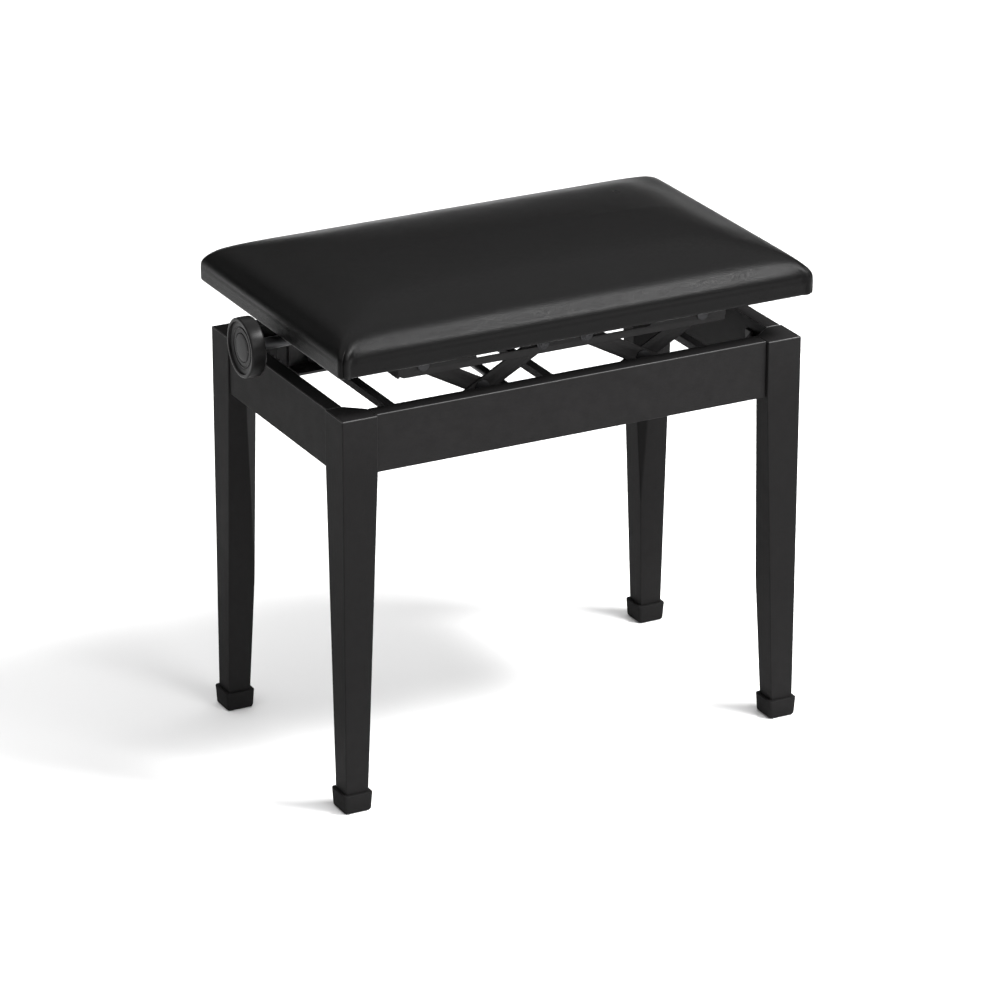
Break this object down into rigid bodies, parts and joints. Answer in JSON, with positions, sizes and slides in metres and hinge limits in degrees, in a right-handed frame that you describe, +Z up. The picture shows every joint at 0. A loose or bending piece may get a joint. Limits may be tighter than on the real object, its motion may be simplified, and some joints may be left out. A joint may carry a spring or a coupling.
{
  "type": "piano bench",
  "caption": "Padded piano bench: black wooden frame, scissor lift under a vinyl seat, and a side knob that turns a lead screw to set the seat's height.",
  "frame": {"origin": "on the floor, midway between the four feet", "axes": "+X along the bench to the right, with the knob at -X; +Y to the back; +Z up"},
  "size_m": [0.572, 0.33, 0.5286],
  "materials": {
    "black_wood": "satin black lacquer on hardwood",
    "rubber_feet": "matt moulded rubber",
    "dowel_wood": "plain beech",
    "plywood": "plain plywood",
    "seat_foam": "open-cell foam",
    "black_vinyl": "smooth semi-gloss black vinyl",
    "dust_cloth": "non-woven cloth",
    "knob_plastic": "satin moulded plastic",
    "bush_metal": "sintered bronze",
    "plated_steel": "dark zinc plate",
    "black_steel": "black powder coat"
  },
  "bodies": {
    "frame": {"leg_front_left": "black_wood", "leg_front_right": "black_wood", "leg_rear_left": "black_wood", "leg_rear_right": "black_wood", "foot_cap_front_left": "rubber_feet", "foot_cap_front_right": "rubber_feet", "foot_cap_rear_left": "rubber_feet", "foot_cap_rear_right": "rubber_feet", "front_apron": "black_wood", "rear_apron": "black_wood", "left_apron": "black_wood", "right_apron": "black_wood", "apron_dowels": "dowel_wood", "corner_bracket_front_left": "black_steel", "corner_bracket_front_right": "black_steel", "corner_bracket_rear_left": "black_steel", "corner_bracket_rear_right": "black_steel", "corner_bolts": "plated_steel", "corner_nuts": "plated_steel", "lower_rail_front": "black_steel", "lower_rail_rear": "black_steel", "tie_bar_left": "black_steel", "tie_bar_middle": "black_steel", "tie_bar_right": "black_steel", "lower_rail_screws": "plated_steel", "lower_pivot_pins": "plated_steel"},
    "left_outer_arms": {"left_outer_arm_front": "black_steel", "left_outer_arm_rear": "black_steel", "left_centre_pins": "plated_steel", "left_upper_shafts": "plated_steel", "left_shaft_clips": "plated_steel"},
    "left_inner_arms": {"left_inner_arm_front": "black_steel", "left_inner_arm_rear": "black_steel", "left_lower_shaft": "plated_steel"},
    "left_nut": {"left_nut": "black_steel"},
    "right_outer_arms": {"right_outer_arm_front": "black_steel", "right_outer_arm_rear": "black_steel", "right_centre_pins": "plated_steel", "right_upper_shafts": "plated_steel", "right_shaft_clips": "plated_steel"},
    "right_inner_arms": {"right_inner_arm_front": "black_steel", "right_inner_arm_rear": "black_steel", "right_lower_shaft": "plated_steel"},
    "right_nut": {"right_nut": "black_steel"},
    "seat": {"upper_rail_front": "black_steel", "upper_rail_rear": "black_steel", "end_plate_left": "black_steel", "end_plate_right": "black_steel", "bearing_bushes": "bush_metal", "upper_pivot_pins": "plated_steel", "upper_rail_screws": "plated_steel", "seat_board": "plywood", "seat_foam": "seat_foam", "seat_cover": "black_vinyl", "dust_cover": "dust_cloth", "cover_staples": "plated_steel"},
    "screw": {"lead_screw": "plated_steel", "thrust_collars": "black_steel", "knob": "knob_plastic", "knob_cap": "knob_plastic"}
  },
  "joints": [
    {"name": "seat_lift", "type": "hinge", "parent": "frame", "child": "left_outer_arms", "pos_m": [-0.16, 0, 0.3883], "axis": [0, -1, 0], "range_deg": [-3.2, 36.8]},
    {"name": "left_centre_pivot", "type": "hinge", "parent": "left_outer_arms", "child": "left_inner_arms", "pos_m": [-0.0925, 0, 0.42495], "axis": [0, 1, 0], "range_deg": [-6.4, 73.6]},
    {"name": "left_upper_pivot", "type": "hinge", "parent": "left_inner_arms", "child": "seat", "pos_m": [-0.16, 0, 0.4616], "axis": [0, -1, 0], "range_deg": [-3.2, 36.8]},
    {"name": "left_nut_level", "type": "hinge", "parent": "left_outer_arms", "child": "left_nut", "pos_m": [-0.025, 0, 0.4616], "axis": [0, 1, 0], "range_deg": [-3.2, 36.8]},
    {"name": "right_lower_pivot", "type": "hinge", "parent": "frame", "child": "right_outer_arms", "pos_m": [0.16, 0, 0.3883], "axis": [0, 1, 0], "range_deg": [-3.2, 36.8]},
    {"name": "right_centre_pivot", "type": "hinge", "parent": "right_outer_arms", "child": "right_inner_arms", "pos_m": [0.0925, 0, 0.42495], "axis": [0, -1, 0], "range_deg": [-6.4, 73.6]},
    {"name": "right_nut_level", "type": "hinge", "parent": "right_outer_arms", "child": "right_nut", "pos_m": [0.025, 0, 0.4616], "axis": [0, -1, 0], "range_deg": [-3.2, 36.8]},
    {"name": "knob_turn", "type": "hinge", "parent": "seat", "child": "screw", "pos_m": [0, 0, 0.4616], "axis": [1, 0, 0], "range_deg": [-358.4, 4121.6]}
  ],
  "couplings": [
    {"joint": "left_centre_pivot", "follows": "seat_lift", "ratio": 2},
    {"joint": "left_upper_pivot", "follows": "seat_lift", "ratio": 1},
    {"joint": "left_nut_level", "follows": "seat_lift", "ratio": 1},
    {"joint": "right_lower_pivot", "follows": "seat_lift", "ratio": 1},
    {"joint": "right_centre_pivot", "follows": "seat_lift", "ratio": 2},
    {"joint": "right_nut_level", "follows": "seat_lift", "ratio": 1},
    {"joint": "knob_turn", "follows": "seat_lift", "ratio": 112}
  ]
}
